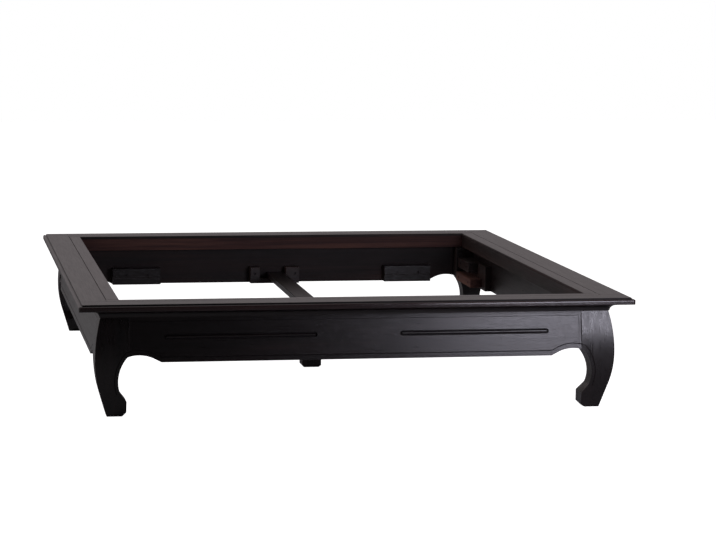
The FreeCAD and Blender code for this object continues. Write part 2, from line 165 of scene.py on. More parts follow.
# %% Grain sizes
FIGURE_WIDTH = 34 * MM
FIGURE_LENGTH = 900 * MM
FIBRE_WIDTH = 3.2 * MM
FIBRE_LENGTH = 150 * MM
PORE_WIDTH = 1.3 * MM
PORE_LENGTH = 16 * MM
PORE_DEPTH = 0.25 * MM
CLOUD_SIZE = 420 * MM
PATCH_WIDTH = 13 * MM
PATCH_LENGTH = 55 * MM

FIBRE_IN_TONE = 0.45
CLOUD_IN_TONE = 0.55
FIBRE_IN_RELIEF = 0.5
PATCH_IN_FILM = {"X": 0.25, "Y": 0.25, "Z": 0.9}


def grain_scale(axis, width, length):
    """How a noise is scaled so that one grain is so wide and so long along an axis."""
    return tuple(1 / length if name == axis else 1 / width for name in "XYZ")


def stretched_noise(tree, place, axis, width, length, detail, distortion=0.0):
    """The value of a noise whose grains are stretched along one axis."""
    scale = grain_scale(axis, width, length)
    scaled = add_node(tree, "ShaderNodeMapping", {"Scale": scale}, {"Vector": place})
    board = add_node(tree, "ShaderNodeAttribute", {"attribute_name": "board"})
    noise = add_node(
        tree,
        "ShaderNodeTexNoise",
        {
            "noise_dimensions": "4D",
            "Detail": detail,
            "Roughness": 0.55,
            "Distortion": distortion,
            "Scale": 1.0,
        },
        {"Vector": scaled.outputs["Vector"], "W": board.outputs["Fac"]},
    )
    return noise.outputs["Fac"]


print("one pore is drawn", PORE_WIDTH / MM, "by", PORE_LENGTH / MM, "mm")

# %% Wood recipe
MATH = "ShaderNodeMath"
MAP_RANGE = "ShaderNodeMapRange"
ADD_SHARE = {"operation": "MULTIPLY_ADD"}


def wood(name, axis, stops, film_range, bump, specular):
    """A stained wood with its grain along one axis.

    A noise lies round a half. ADD_SHARE takes a value (2) and adds a share (1) of another (0).
    """
    material, tree, shader, place = start_material(f"{name}_{axis.lower()}")
    figure = stretched_noise(tree, place, axis, FIGURE_WIDTH, FIGURE_LENGTH, 3.0, 0.6)
    fibre = stretched_noise(tree, place, axis, FIBRE_WIDTH, FIBRE_LENGTH, 4.0)
    pore = stretched_noise(tree, place, axis, PORE_WIDTH, PORE_LENGTH, 1.0)
    cloud = stretched_noise(tree, place, axis, CLOUD_SIZE, CLOUD_SIZE, 2.0)
    patch = stretched_noise(tree, place, axis, PATCH_WIDTH, PATCH_LENGTH, 2.0)

    # Colour: figure, fibres and clouds together pick a place on the ramp of stains.
    streak = add_node(tree, MATH, {**ADD_SHARE, 1: FIBRE_IN_TONE}, {0: fibre, 2: figure})
    tone = add_node(tree, MATH, {**ADD_SHARE, 1: CLOUD_IN_TONE}, {0: cloud, 2: streak.outputs[0]})
    limits = {"From Min": 0.72, "From Max": 1.28}
    spread = add_node(tree, MAP_RANGE, limits, {"Value": tone.outputs[0]})
    ramp = add_node(tree, "ShaderNodeValToRGB", links={"Fac": spread.outputs[0]})
    set_ramp(ramp, stops)
    tree.links.new(ramp.outputs["Color"], shader.inputs["Base Color"])

    # Lacquer film: fibres and patches make it more or less glossy within its range.
    share = PATCH_IN_FILM[axis]
    uneven = add_node(tree, MATH, {**ADD_SHARE, 1: share}, {0: patch, 2: fibre})
    middle, reach = 0.5 + 0.5 * share, 0.2 + 0.07 * share
    limits = {"From Min": middle - reach, "From Max": middle + reach}
    limits.update({"To Min": film_range[0], "To Max": film_range[1]})
    film = add_node(tree, MAP_RANGE, limits, {"Value": uneven.outputs[0]})
    tree.links.new(film.outputs[0], shader.inputs["Roughness"])

    # Relief: only the lowest places of the pore noise sink in, between raised fibres.
    pit = add_node(tree, MAP_RANGE, {"From Min": 0.36, "From Max": 0.46}, {"Value": pore})
    share_of_fibre = {**ADD_SHARE, 1: FIBRE_IN_RELIEF}
    relief = add_node(tree, MATH, share_of_fibre, {0: fibre, 2: pit.outputs[0]})
    settings = {"Strength": bump, "Distance": PORE_DEPTH}
    bumped = add_node(tree, "ShaderNodeBump", settings, {"Height": relief.outputs[0]})
    tree.links.new(bumped.outputs["Normal"], shader.inputs["Normal"])
    shader.inputs["Specular IOR Level"].default_value = specular
    return material


print("the recipe takes a ramp of stains, a range of gloss and a depth of grain")

# %% [markdown]
# ## Six woods
# - Dark stained hardwood is the show wood: almost black under an even satin lacquer.
# - Waxed strip hardwood lines the mattress well. It was waxed, and is a touch lighter.
# - Rubbed edge hardwood is on the worn edges of the show wood: thinner stain, and more gloss.
#   On the nose of the end boards its lighter brown is partly painted light.
# - Thinly stained hardwood is bare and reddish: the end battens, ledges and dowels.
# - Brown stained hardwood is duller: the side battens, brackets and corner blocks.
# - Unpolished hardwood is what faces inwards, where nobody lacquered.
#
# Each ramp goes from the darkest streak to the lightest one.

# %% Make the woods
DARK_STOPS = [(0.0, "080505"), (0.45, "100a0a"), (0.8, "170f0f"), (1.0, "201413")]
STRIP_STOPS = [(0.0, "100b0b"), (0.45, "1a1213"), (0.8, "231a1a"), (1.0, "2d2020")]
WEAR_AND_NOSE_LIGHT_STOPS = [(0.0, "0f0909"), (0.5, "1b1011"), (1.0, "2e1c1b")]
RAW_STOPS = [(0.0, "241513"), (0.4, "422926"), (0.75, "593b33"), (1.0, "7a5344")]
BROWN_STOPS = [(0.0, "0f0a09"), (0.4, "1c1211"), (0.75, "281a18"), (1.0, "382521")]
SATIN_FILM = (0.27, 0.35)
LEG_FILM = (0.24, 0.39)
WORN_FILM = (0.2, 0.28)
RAW_FILM = (0.55, 0.7)
BROWN_FILM = (0.4, 0.5)
INSIDE_FILM = (0.5, 0.65)

dark_wood, strip_wood, edge_wear_and_nose_light, raw_wood, brown_wood, inside_wood = ({} for _ in range(6))
for axis in "XYZ":
    film = LEG_FILM if axis == "Z" else SATIN_FILM
    dark_wood[axis] = wood("dark_stained_hardwood", axis, DARK_STOPS, film, 0.35, 0.4)
    strip_wood[axis] = wood("waxed_strip_hardwood", axis, STRIP_STOPS, SATIN_FILM, 0.35, 0.42)
    edge_wear_and_nose_light[axis] = wood("rubbed_edge_and_lit_nose_hardwood", axis, WEAR_AND_NOSE_LIGHT_STOPS, WORN_FILM, 0.2, 0.55)
    raw_wood[axis] = wood("thinly_stained_hardwood", axis, RAW_STOPS, RAW_FILM, 0.5, 0.2)
    brown_wood[axis] = wood("brown_stained_hardwood", axis, BROWN_STOPS, BROWN_FILM, 0.5, 0.35)
    inside_wood[axis] = wood("unpolished_hardwood", axis, BROWN_STOPS, INSIDE_FILM, 0.5, 0.25)
print(len(bpy.data.materials), "woods")

# %% [markdown]
# ## Groove and steel
# A cut line keeps stain and old wax, so it is almost black and dull, with specks about a
# centimetre wide. The same finish is painted shade on the step over the rail's nose. The wood
# screws are blued steel: dark and metallic, with brown oxide in patches of about 3 mm. The
# scales of both noises are counts per metre.

# %% Groove and steel
GROOVE_SPECKS = 90.0
OXIDE_PATCHES = 350.0


def groove_finish():
    """Stain and old wax that stay in a cut line, and painted shade in the step over a nose."""
    material, tree, shader, place = start_material("waxed_and_shaded_groove")
    settings = {"Scale": GROOVE_SPECKS, "Detail": 3.0}
    speck = add_node(tree, "ShaderNodeTexNoise", settings, {"Vector": place})
    ramp = add_node(tree, "ShaderNodeValToRGB", links={"Fac": speck.outputs["Fac"]})
    set_ramp(ramp, [(0.3, "060404"), (0.7, "120a0a")])
    tree.links.new(ramp.outputs["Color"], shader.inputs["Base Color"])
    shader.inputs["Roughness"].default_value = 0.6
    shader.inputs["Specular IOR Level"].default_value = 0.2
    return material


def screw_steel():
    """Blued steel of old wood screws."""
    material, tree, shader, place = start_material("blued_steel")
    settings = {"Scale": OXIDE_PATCHES, "Detail": 4.0}
    patch = add_node(tree, "ShaderNodeTexNoise", settings, {"Vector": place})
    ramp = add_node(tree, "ShaderNodeValToRGB", links={"Fac": patch.outputs["Fac"]})
    set_ramp(ramp, [(0.35, "2b2a2c"), (0.6, "3a3636"), (0.8, "3f2a20")])
    limits = {"From Min": 0.3, "From Max": 0.7, "To Min": 0.35, "To Max": 0.6}
    rough = add_node(tree, MAP_RANGE, limits, {"Value": patch.outputs["Fac"]})
    tree.links.new(ramp.outputs["Color"], shader.inputs["Base Color"])
    tree.links.new(rough.outputs[0], shader.inputs["Roughness"])
    shader.inputs["Metallic"].default_value = 1.0
    return material


groove = groove_finish()
steel = screw_steel()
print("also", groove.name, "and", steel.name)

# %% [markdown]
# ## Screws and dowels
# The sunk screws and the dowels inside the rail need nothing but a finish, so they are taken from
# the frame as they are. Every other piece is drawn anew further down.

# %% Dress the screws and dowels
for node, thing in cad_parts.items():
    if node.endswith(("_screws", "_dowels")):
        thing.data.materials.clear()
        thing.data.materials.append(steel if node.endswith("_screws") else raw_wood["Y"])
        print("dressed", node)

# %% [markdown]
# ## Drawing in edit mode
# Most of this bed is straight timber with a shaped section, so nearly every piece starts as one
# point that is extruded into an outline, filled, and extruded along its run. That is how a
# moulding plane works too: one section, pushed along the board. A few small tools below do this
# with Blender's own operators.
#
# Places are easier to think of from the rail's outer edge: how far along a side, how far inwards,
# how high. Only the foot side and the right side are drawn. The head and the left side are
# mirrored copies.

# %% Places and arcs
TWIN = {"foot": "head", "right": "left"}
GRAIN = {"foot": "X", "head": "X", "right": "Y", "left": "Y"}


def at(side, along, inward, height):
    """A point from millimetres along a side, inwards from the rail's edge and above the floor."""
    if side == "foot":
        return Vector((along * MM, inward * MM - HALF_LENGTH, height * MM))
    return Vector((HALF_WIDTH - inward * MM, along * MM, height * MM))


def half_span(side):
    """Half the length of one side of the rail in millimetres."""
    return (HALF_WIDTH if side == "foot" else HALF_LENGTH) / MM


def arc_through(start, middle, end, steps):
    """Points of the arc through three points, without its first point."""
    a, b, c = (complex(*p) for p in (start, middle, end))
    ratio = (c - a) / (b - a)
    centre = a + (b - a) * (ratio - abs(ratio) ** 2) / (2j * ratio.imag)
    sweep = cmath.phase((b - centre) / (a - centre)) + cmath.phase((c - centre) / (b - centre))
    turns = [cmath.rect(1, sweep * k / steps) for k in range(1, steps + 1)]
    points = [centre + (a - centre) * turn for turn in turns]
    return [(p.real, p.imag) for p in points]


for side in TWIN:
    print(side, "side is", round(2 * half_span(side)), "mm long")

# %% Drawing tools
WOOD, WEAR_AND_NOSE_LIGHT, CUT, INSIDE = range(4)


def give_finishes(piece):
    """Gives a new piece its four finishes: the wood, worn edges, cut lines and inner faces.

    The worn edges also paint light on a nose, and the cut lines paint shade in its step.
    """
    for finish in (dark_wood["X"], edge_wear_and_nose_light["X"], groove, inside_wood["X"]):
        piece.data.materials.append(finish)


def draw_line(name, points):
    """Draws a line: the first point is moved to its place, and each next one is extruded."""
    bpy.ops.object.select_all(action="DESELECT")
    bpy.ops.mesh.primitive_plane_add(size=MM, location=(0, 0, 0))
    piece = bpy.context.object
    piece.name = name
    give_finishes(piece)
    bpy.ops.object.mode_set(mode="EDIT")
    bpy.ops.mesh.select_all(action="SELECT")
    bpy.ops.mesh.merge(type="CENTER")
    bpy.ops.transform.translate(value=points[0])
    for before, point in zip(points, points[1:]):
        bpy.ops.mesh.extrude_vertices_move(TRANSFORM_OT_translate={"value": point - before})
    return piece


def draw_bar(name, outline, run):
    """A bar: its outline is drawn, filled and extruded along its run."""
    piece = draw_line(name, outline)
    bpy.ops.mesh.select_all(action="SELECT")
    bpy.ops.mesh.edge_face_add()
    bpy.ops.mesh.extrude_region_move(TRANSFORM_OT_translate={"value": run})
    bpy.ops.mesh.select_all(action="SELECT")
    bpy.ops.mesh.normals_make_consistent(inside=False)
    bpy.ops.object.mode_set(mode="OBJECT")
    return piece


def side_bar(name, side, section, start, stop):
    """A bar along a side from a section of points inwards and above the floor."""
    outline = [at(side, start, v, z) for v, z in section]
    return draw_bar(name, outline, at(side, stop, 0, 0) - at(side, start, 0, 0))


def cube(name, low, high):
    """A block between two corners given as vectors, drawn from its lower face."""
    corners = [(low.x, low.y), (high.x, low.y), (high.x, high.y), (low.x, high.y)]
    outline = [Vector((x, y, low.z)) for x, y in corners]
    return draw_bar(name, outline, Vector((0, 0, high.z - low.z)))


def make_active(piece):
    """Selects one piece alone, as every operator below expects."""
    bpy.ops.object.select_all(action="DESELECT")
    piece.select_set(True)
    bpy.context.view_layer.objects.active = piece


print("a point, extruded into an outline, filled and extruded again, is a bar")

# %% Cutting and easing tools
SHARP = math.radians(32)


def carve(piece, tool, operation="DIFFERENCE", finish=WOOD):
    """Cuts a tool from a piece. The faces that it leaves get the finish of that number."""
    for face in tool.data.polygons:
        face.material_index = finish
    make_active(piece)
    cut = piece.modifiers.new("cut", "BOOLEAN")
    cut.operation = operation
    cut.solver = "EXACT"
    cut.object = tool
    bpy.ops.object.modifier_apply(modifier=cut.name)
    bpy.data.objects.remove(tool)


def ease(piece, width, segments=2):
    """Rounds the sharp edges a little, as sanding does, and gives them the rubbed finish."""
    make_active(piece)
    bevel = piece.modifiers.new("ease", "BEVEL")
    bevel.limit_method = "ANGLE"
    bevel.angle_limit = SHARP
    bevel.width = width * MM
    bevel.segments = segments
    bevel.material = WEAR_AND_NOSE_LIGHT
    bpy.ops.object.modifier_apply(modifier=bevel.name)


def bevel_edges(piece, wanted, width, segments):
    """Bevels only those edges of a piece for whose two ends a test holds."""
    make_active(piece)
    bpy.ops.object.mode_set(mode="EDIT")
    bpy.ops.mesh.select_mode(type="EDGE")
    bpy.ops.mesh.select_all(action="DESELECT")
    mesh = bmesh.from_edit_mesh(piece.data)
    for edge in mesh.edges:
        edge.select_set(wanted(*(v.co for v in edge.verts)))
    bmesh.update_edit_mesh(piece.data)
    bpy.ops.mesh.bevel(offset=width * MM, segments=segments)
    bpy.ops.mesh.select_mode(type="VERT")
    bpy.ops.object.mode_set(mode="OBJECT")


def round_tube(name, points, radius):
    """A round cutter along a line of points, for a scratched groove."""
    tube = draw_line(name, points)
    bpy.ops.object.mode_set(mode="OBJECT")
    bpy.ops.object.convert(target="CURVE")
    tube = bpy.context.object
    tube.data.bevel_depth = radius * MM
    tube.data.bevel_resolution = 2
    tube.data.use_fill_caps = True
    bpy.ops.object.convert(target="MESH")
    return bpy.context.object


def saw_ends(piece, side, half, slant=0.0):
    """Saws both ends of a piece off, square to the side or at a slant, and fills the cuts."""
    make_active(piece)
    bpy.ops.object.mode_set(mode="EDIT")
    for end in (-1, 1):
        bpy.ops.mesh.select_all(action="SELECT")
        outwards = (at(side, end, slant, 0) - at(side, 0, 0, 0)).normalized()
        cut = {"plane_co": at(side, end * half, 0, 0), "plane_no": outwards}
        bpy.ops.mesh.bisect(use_fill=True, clear_outer=True, **cut)
    bpy.ops.object.mode_set(mode="OBJECT")


print("edges sharper than", round(math.degrees(SHARP)), "degrees are eased")

# %% Drilling and mirroring
HEAD_HOLE = 4.8
HEAD_DEPTH = 11.2
DRILL_TURN = {"X": (0, math.pi / 2, 0), "Y": (math.pi / 2, 0, 0), "Z": (0, 0, 0)}


def drill(piece, place, axis, radius=HEAD_HOLE, depth=HEAD_DEPTH):
    """Sinks a round hole at a point of the surface, along an axis."""
    bpy.ops.object.select_all(action="DESELECT")
    bit = {"radius": radius * MM, "depth": 2 * depth * MM, "rotation": DRILL_TURN[axis]}
    bpy.ops.mesh.primitive_cylinder_add(vertices=24, location=place, **bit)
    bpy.ops.object.transform_apply(location=True, rotation=True, scale=True)
    carve(piece, bpy.context.object, finish=CUT)


def mirrored(piece, name, flip):
    """A copy with its own mesh, mirrored across the middle of the bed."""
    make_active(piece)
    bpy.ops.object.duplicate()
    copy = bpy.context.object
    copy.name = name
    copy.scale = flip
    bpy.ops.object.transform_apply(location=True, rotation=True, scale=True)
    bpy.ops.object.mode_set(mode="EDIT")
    bpy.ops.mesh.select_all(action="SELECT")
    bpy.ops.mesh.normals_make_consistent(inside=False)
    bpy.ops.object.mode_set(mode="OBJECT")
    return copy


print("a screw head's hole is", 2 * HEAD_HOLE, "mm wide and", HEAD_DEPTH, "mm deep")

# %% [markdown]
# ## Finishing a piece
# A finished piece gets its grain, its shading and its body, and the frame's nodes that it
# replaces are hidden. Only bends flatter than a small angle are shaded smooth. The steps of an
# eased edge are steeper than that, so the flat face beside it stays flat in the light.

# %% Finishing tools
SMOOTH_BELOW = math.radians(16)
BOARD_STEP = 1.7
DARK_SLOT = "dark_stained_wood"
RAW_SLOT = "bare_reddish_wood"
boards = itertools.count(1)


def settle(piece, axis, woods, nodes, body="frame"):
    """Gives a finished piece its grain and smooth shading, joins it to its body, hides its nodes.
    """
    make_active(piece)
    piece.data.materials[WOOD] = woods[axis]
    piece.data.materials[WEAR_AND_NOSE_LIGHT] = edge_wear_and_nose_light[axis] if woods is dark_wood else woods[axis]
    piece.data.materials[INSIDE] = inside_wood[axis]
    bpy.ops.object.shade_smooth_by_angle(angle=SMOOTH_BELOW)
    board = piece.data.attributes.new("board", "FLOAT", "POINT")
    shift = next(boards) * BOARD_STEP
    board.data.foreach_set("value", [shift] * len(piece.data.vertices))
    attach(piece, body)
    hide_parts(*nodes)


def settle_pair(piece, side, woods, node):
    """Settles a piece of one side, and its copy on the side across."""
    flip = (1, -1, 1) if side == "foot" else (-1, 1, 1)
    twin = mirrored(piece, f"{TWIN[side]}_{node}_piece", flip)
    settle(piece, GRAIN[side], woods, [f"{side}_{node}"])
    settle(twin, GRAIN[side], woods, [f"{TWIN[side]}_{node}"])


def dress_band(piece, side, across, levels, finish):
    """Gives the faces that lie within a band along a side the finish of a number."""
    for face in piece.data.polygons:
        y = face.center.y + HALF_LENGTH if side == "foot" else HALF_WIDTH - face.center.x
        if across[0] < y / MM < across[1] and levels[0] < face.center.z / MM < levels[1]:
            face.material_index = finish


print("slots", DARK_SLOT, RAW_SLOT)

# %% [markdown]
# ## The rail boards
# A rail board is a flat board whose outer edge was run with a moulding plane: a small square
# step, the quirk, sits over a rounded nose. The two end boards run the full width of the bed, so
# the nose also returns round their ends. Drawing the section and extruding it makes the straight
# nose. The returned nose comes from keeping only what an end board and a second moulded slab
# across it have in common, and that also gives true mitres in the moulding. The side boards butt
# between the end boards. The seams beside a board are small chamfers with dark wax in them.

# %% Sections of the rail
NOSE = 12.0
QUIRK = 5.6
NOSE_DROP = 12.5
SEAM_EASE = 1.4
TIP_ROUND = 9.0
CORNER_STEPS = 6


def nose_points():
    """The moulded edge from its lower corner to the top of the step, inwards and up."""
    lower_corner = [(2.6, BOARD_UNDER), (0.8, BOARD_UNDER + 0.8), (0.0, BOARD_UNDER + 2.6)]
    low = (0.06, TOP - NOSE_DROP)
    flank = [(0.0, BOARD_UNDER + 3.4), (0.0, low[1] - 0.8), low]
    bulge = (NOSE * 0.11, TOP - QUIRK - 2.0)
    high = (NOSE / 2, TOP - QUIRK + 0.5)
    quirk = [(NOSE, TOP - QUIRK), (NOSE + 0.4, TOP - QUIRK)]
    top_corner = [(NOSE + 0.4, TOP - 0.5), (NOSE + 1.0, TOP)]
    return lower_corner + flank + arc_through(low, bulge, high, 8) + quirk + top_corner


def rail_section():
    """The whole section of a rail board."""
    seam = [(BOARD_WIDTH - SEAM_EASE, TOP), (BOARD_WIDTH, TOP - SEAM_EASE)]
    return nose_points() + seam + [(BOARD_WIDTH, BOARD_UNDER)]


def full_slab():
    """A slab as wide as the bed with both its long edges moulded, which runs from end to end."""
    near = nose_points()
    reach = 2 * half_span("foot")
    section = near + [(reach - v, z) for v, z in reversed(near)]
    return side_bar("slab_cutter", "right", section, -half_span("right"), half_span("right"))


def rounded_plan():
    """The plan of the bed with its four corners rounded."""
    low = Vector((-HALF_WIDTH, -HALF_LENGTH, (BOARD_UNDER - 1) * MM))
    plan = cube("plan_cutter", low, Vector((HALF_WIDTH, HALF_LENGTH, (TOP + 1) * MM)))
    bevel_edges(plan, lambda a, b: abs(a.z - b.z) > MM, TIP_ROUND, CORNER_STEPS)
    return plan


print("the section of a rail board has", len(rail_section()), "points")

# %% Rail boards
half = half_span("foot")
end_board = side_bar("foot_rail_board_piece", "foot", rail_section(), -half, half)
carve(end_board, full_slab(), "INTERSECT")
carve(end_board, rounded_plan(), "INTERSECT")
reach = half_span("right") - BOARD_WIDTH
side_board = side_bar("right_rail_board_piece", "right", rail_section(), -reach, reach)
# The nose of the end boards takes the rubbed finish: partly wear, and partly painted light, a
# lighter brown where the lamp falls on the nose.
dress_band(end_board, "foot", (-0.1, NOSE / 2), (BOARD_UNDER, TOP - QUIRK + 1), WEAR_AND_NOSE_LIGHT)
# The step over the nose takes the near-black finish of the cut lines as painted shade.
dress_band(end_board, "foot", (NOSE, NOSE + 1), (TOP - QUIRK - 0.1, TOP - 0.5), CUT)
for board, side in ((end_board, "foot"), (side_board, "right")):
    dress_band(board, side, (BOARD_WIDTH - 2, BOARD_WIDTH), (TOP - SEAM_EASE, TOP - 0.1), CUT)
    settle_pair(board, side, dark_wood, "rail_board")
print("end board", len(end_board.data.polygons), "faces")
print("side board", len(side_board.data.polygons), "faces")

# %% [markdown]
# ## Inner strips, battens and coves
# A thin strip with a rounded edge lines the opening, and a thicker batten of plainer wood carries
# it. Under the rail runs a cove, a hollow moulding that leads the eye back from the rail to the
# apron. All three are one section pushed along a side. The coves meet in mitres, which bisect
# cuts at 45 degrees and fills.

# %% Strips and battens
STRIP_ROUND = 4.0
ROUND_CUT = 0.293

corner = (STRIP_EDGE - STRIP_ROUND * ROUND_CUT, TOP - STRIP_ROUND * ROUND_CUT)
strip_section = [(BOARD_WIDTH, STRIP_UNDER), (BOARD_WIDTH, TOP - SEAM_EASE)]
strip_section += [(BOARD_WIDTH + SEAM_EASE, TOP), (STRIP_EDGE - STRIP_ROUND, TOP)]
strip_section += arc_through(strip_section[-1], corner, (STRIP_EDGE, TOP - STRIP_ROUND), 8)
strip_section += [(STRIP_EDGE, STRIP_UNDER)]
batten_section = [(BOARD_WIDTH, BATTEN_UNDER), (BOARD_WIDTH, BATTEN_TOP)]
batten_section += [(BATTEN_EDGE, BATTEN_TOP), (BATTEN_EDGE, BATTEN_UNDER)]
for side in TWIN:
    strip_reach = half_span(side) - (BOARD_WIDTH if side == "foot" else STRIP_EDGE)
    strip = side_bar(f"{side}_inner_strip_piece", side, strip_section, -strip_reach, strip_reach)
    dress_band(strip, side, (BOARD_WIDTH, BOARD_WIDTH + 2), (TOP - SEAM_EASE, TOP - 0.1), CUT)
    dress_band(strip, side, (STRIP_EDGE - 2, STRIP_EDGE + 1), (STRIP_UNDER, TOP - 0.6), INSIDE)
    settle_pair(strip, side, strip_wood, "inner_strip")
    batten_reach = half_span(side) - (BOARD_WIDTH if side == "foot" else BATTEN_EDGE)
    batten = side_bar(f"{side}_batten_piece", side, batten_section, -batten_reach, batten_reach)
    ease(batten, 1.2)
    settle_pair(batten, side, raw_wood if side == "foot" else brown_wood, "batten")
    print(side, "strip", round(2 * strip_reach), "mm and batten", round(2 * batten_reach), "mm")

# %% Coves
COVE_LIP = 7.0
COS_45 = 0.707

cove_radius = COVE_TOP - COVE_LIP - COVE_UNDER
bend = (COVE_OUT + cove_radius * COS_45, COVE_UNDER + cove_radius * COS_45)
cove_section = [(COVE_OUT, COVE_TOP), (COVE_OUT, COVE_TOP - COVE_LIP)]
cove_section += arc_through(cove_section[-1], bend, (COVE_OUT + cove_radius, COVE_UNDER), 9)
cove_section += [(COVE_IN, COVE_UNDER), (COVE_IN, COVE_TOP)]
for side in TWIN:
    half = half_span(side)
    cove = side_bar(f"{side}_cove_moulding_piece", side, cove_section, -half, half)
    saw_ends(cove, side, half, slant=1.0)
    ease(cove, 0.6)
    settle_pair(cove, side, dark_wood, "cove_moulding")
print("cove radius", round(cove_radius, 1), "mm")

# %% [markdown]
# ## Aprons
# An apron is a thick board. Its flat face leans outwards as it goes down, almost to its lower
# edge. That edge runs straight, then rises in a wave at each leg. The shape is what two simple
# forms have in common: the wavy outline pushed through the thickness, and the leaning section
# pushed along the length. A scratch stock then cut a line along the lower edge, and finer lines
# up the ends and along the top. Each side apron also keeps an old pilot hole on its inner face.

# %% Leaning face and wavy outline
BELLY = (APRON_OUT, APRON_UNDER + 6.0)
FACE_FOOT = (APRON_OUT, APRON_UNDER + 1.0)
SHOULDER = (COVE_IN, COVE_UNDER)
ARCH_END = 20.0
ARCH_PEAK = (40.0, 23.5)
ARCH_BEND = (78.0, 14.0)
ARCH_RUN = 106.0
CLEAR = 5.0
face_lean = math.atan2(SHOULDER[0] - FACE_FOOT[0], SHOULDER[1] - FACE_FOOT[1])
FACE_OUT = Vector((0, -math.cos(face_lean), math.sin(face_lean)))


def leaning(height):
    """How far in from the rail's edge the leaning face lies at a height."""
    return SHOULDER[0] - (SHOULDER[1] - height) * math.tan(face_lean)


def wave_points(half, raised=0.0):
    """The lower edge of an apron from its middle to its right end, raised by so much."""
    low = APRON_UNDER + raised
    bend = (half - ARCH_BEND[0], low + ARCH_BEND[1])
    peak = (half - ARCH_PEAK[0], low + ARCH_PEAK[1])
    return [(half - ARCH_RUN, low), bend] + arc_through(bend, peak, (half, low + ARCH_END), 12)


def both_ways(points):
    """A right half of a line, with its mirror image before it."""
    return [(-x, z) for x, z in reversed(points)] + points


lean_section = [(APRON_IN, APRON_UNDER - CLEAR), (FACE_FOOT[0], APRON_UNDER - CLEAR), FACE_FOOT]
lean_section += [SHOULDER, (SHOULDER[0], BOARD_UNDER), (APRON_IN, BOARD_UNDER)]
print("the face leans by", round(math.degrees(face_lean), 1), "degrees")

# %% [markdown]
# ## Lines and slots
# The line follows the lower edge 17 mm above it. The end aprons also have two sunk slots each,
# cut square to the leaning face, which hold the beads. A round tube along a line of points cuts
# the scratched lines, and a bar with round ends cuts the slots.

# %% Lines and slots
LINE_RISE = 17.0
LINE_SIDE = 9.0
LINE_TOP_DROP = 43.0
LINE_RUN_OUT = 4.0
LOWER_LINE, UPRIGHT_LINE, TOP_LINE, LEG_LINE = 1.6, 0.7, 0.8, 1.5
SLOT_END_GAP = 115.0
SLOT_MIDDLE_GAP = 141.0
SLOT_RISE = 83.0
SLOT_HALF = 9.0
SLOT_DEPTH = 5.7
CUTTER_THICK = 30.0
slot_level = APRON_UNDER + SLOT_RISE
slot_floor = leaning(slot_level) + SLOT_DEPTH
line_end = APRON_UNDER + ARCH_END + LINE_RISE


def on_face(side, line):
    """Points on the leaning face from points along and above the floor."""
    return [at(side, x, leaning(z), z) for x, z in line]


def slot_cutter(start, stop):
    """A round-ended bar that sinks a slot square to the leaning face."""
    low, high = slot_level - SLOT_HALF, slot_level + SLOT_HALF
    left, right = start + SLOT_HALF, stop - SLOT_HALF
    loop = [(right, low)] + arc_through((right, low), (stop, slot_level), (right, high), 8)
    loop += [(left, high)] + arc_through((left, high), (start, slot_level), (left, low), 8)
    slope = math.tan(face_lean)
    outline = [at("foot", x, slot_floor + (z - slot_level) * slope, z) for x, z in loop]
    return draw_bar("slot_cutter", outline, FACE_OUT * CUTTER_THICK * MM)


print("slots lie", round(slot_level, 1), "mm above the floor")

# %% Shape the aprons
SAW_START = 40.0
SAW_WASTE = 6.0
PILOT_ALONG = 78.0
PILOT_RISE = 74.0


def apron_half(side):
    """Half the length of an apron between its legs."""
    return half_span(side) - LEG_EDGE


half = apron_half("foot")
slots = [(SLOT_MIDDLE_GAP, half - SLOT_END_GAP), (SLOT_END_GAP - half, -SLOT_MIDDLE_GAP)]
for side in TWIN:
    half = apron_half(side)
    rough = half + SAW_WASTE
    outline = both_ways(wave_points(half) + [(rough, APRON_UNDER + ARCH_END)])
    outline += [(rough, BOARD_UNDER), (-rough, BOARD_UNDER)]
    points = [at(side, x, SAW_START, z) for x, z in outline]
    through = at(side, 0, APRON_IN, 0) - at(side, 0, SAW_START, 0)
    apron = draw_bar(f"{side}_apron_piece", points, through)
    carve(apron, side_bar("lean", side, lean_section, -rough, rough), "INTERSECT")
    ease(apron, 1.4)
    saw_ends(apron, side, half)
    if side == "foot":
        inner_face = (APRON_IN - 0.5, APRON_IN + 0.5)
        dress_band(apron, side, inner_face, (APRON_UNDER, BOARD_UNDER), INSIDE)

    lower = both_ways(wave_points(half, LINE_RISE) + [(half + LINE_RUN_OUT, line_end)])
    carve(apron, round_tube("line", on_face(side, lower), LOWER_LINE), finish=CUT)
    top = BOARD_UNDER - LINE_TOP_DROP
    reach = half - LINE_SIDE
    for x in (-reach, reach):
        upright = on_face(side, [(x, line_end), (x, top)])
        carve(apron, round_tube("line", upright, UPRIGHT_LINE), finish=CUT)
    along = on_face(side, [(-reach, top), (reach, top)])
    carve(apron, round_tube("line", along, TOP_LINE), finish=CUT)
    if side == "foot":
        for start, stop in slots:
            carve(apron, slot_cutter(start, stop), finish=CUT)
    else:
        pilot = at(side, PILOT_ALONG, APRON_IN, APRON_UNDER + PILOT_RISE)
        drill(apron, pilot, "X", radius=3.0, depth=10.0)
    settle_pair(apron, side, dark_wood, "apron")
    print(side, "apron", round(2 * half), "mm long,", len(apron.data.polygons), "faces")

# %% [markdown]
# ## Beads
# Each sunk slot holds a half-round bead, which is flush with the face. A sphere is the natural
# start: its two halves are moved apart to make a long capsule, and what would lie behind the
# slot's floor is cut away. The ends stay slightly pointed, as a carver's bead is.

# %% Beads
BEAD_HALF = 5.7
BEAD_GAP = 4.0


